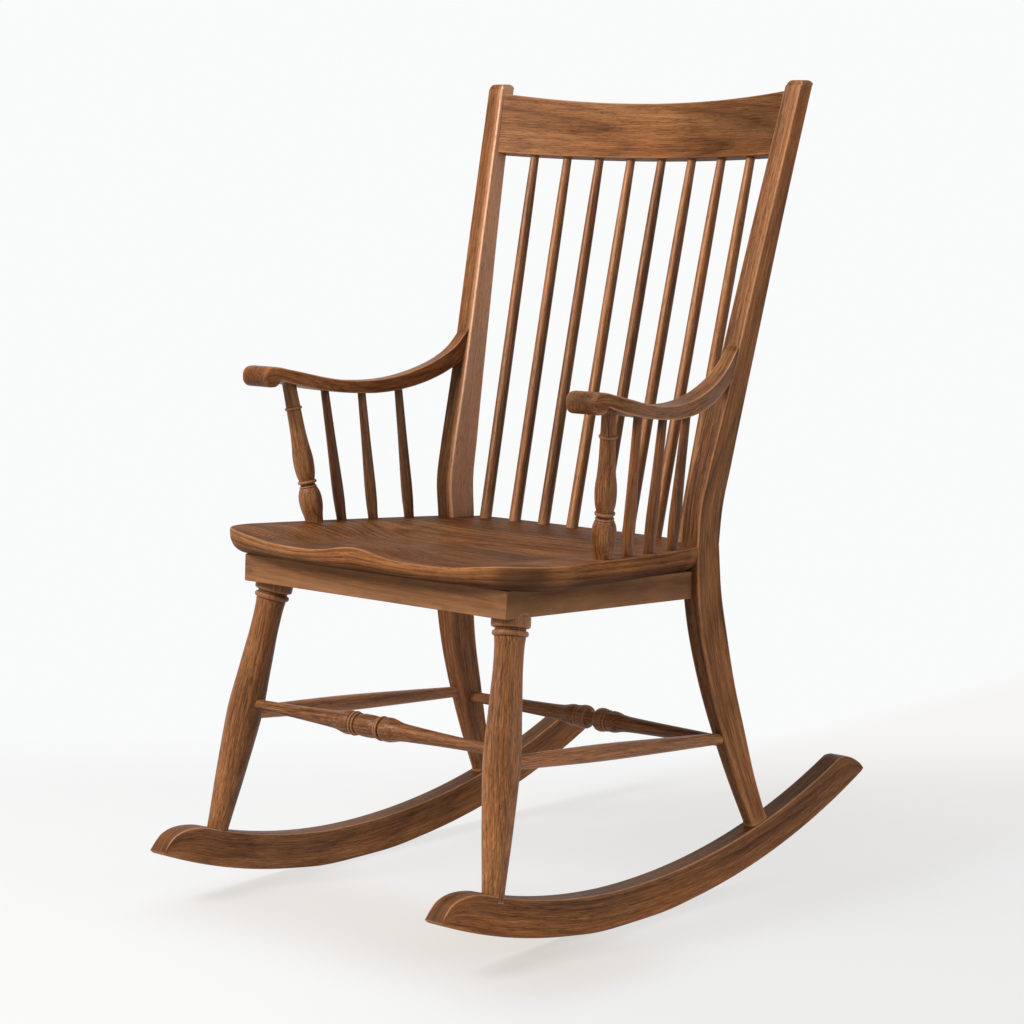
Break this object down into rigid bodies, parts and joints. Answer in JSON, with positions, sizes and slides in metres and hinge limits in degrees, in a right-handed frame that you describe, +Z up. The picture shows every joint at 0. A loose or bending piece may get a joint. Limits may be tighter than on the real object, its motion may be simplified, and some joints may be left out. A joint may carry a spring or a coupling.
{
  "type": "rocking chair",
  "caption": "High-backed walnut rocking chair with a carved saddle seat, spindle back, scrolled arms on turned posts, turned front legs and long curved rockers.",
  "frame": {"origin": "on the floor, in the chair's plane of symmetry, half way between the rockers' front and back tips", "axes": "+Z up, +X to the left hand of the person in the chair, +Y to the back; the chair looks along -Y"},
  "size_m": [0.591, 0.8248, 1.02],
  "materials": {
    "walnut_sawn": "satin oiled walnut, sawn and shaped pieces",
    "walnut_turned": "satin oiled walnut, turned on a lathe",
    "walnut_seat": "satin oiled walnut, carved and sanded saddle"
  },
  "bodies": {
    "root": {"seat": "walnut_seat", "apron_front": "walnut_sawn", "apron_back": "walnut_sawn", "apron_side_left": "walnut_sawn", "corner_block_left": "walnut_sawn", "apron_side_right": "walnut_sawn", "corner_block_right": "walnut_sawn", "crest_rail": "walnut_sawn", "rocker_left": "walnut_sawn", "back_post_left": "walnut_sawn", "rocker_right": "walnut_sawn", "back_post_right": "walnut_sawn", "front_leg_left": "walnut_turned", "front_leg_right": "walnut_turned", "stretcher_front": "walnut_turned", "stretcher_back": "walnut_turned", "stretcher_side_left": "walnut_turned", "arm_left": "walnut_sawn", "arm_post_left": "walnut_turned", "arm_spindle_left_1": "walnut_turned", "arm_spindle_left_2": "walnut_turned", "arm_spindle_left_3": "walnut_turned", "stretcher_side_right": "walnut_turned", "arm_right": "walnut_sawn", "arm_post_right": "walnut_turned", "arm_spindle_right_1": "walnut_turned", "arm_spindle_right_2": "walnut_turned", "arm_spindle_right_3": "walnut_turned", "back_spindle_1": "walnut_turned", "back_spindle_2": "walnut_turned", "back_spindle_3": "walnut_turned", "back_spindle_4": "walnut_turned", "back_spindle_5": "walnut_turned", "back_spindle_6": "walnut_turned", "back_spindle_7": "walnut_turned", "back_spindle_8": "walnut_turned"}
  },
  "joints": []
}
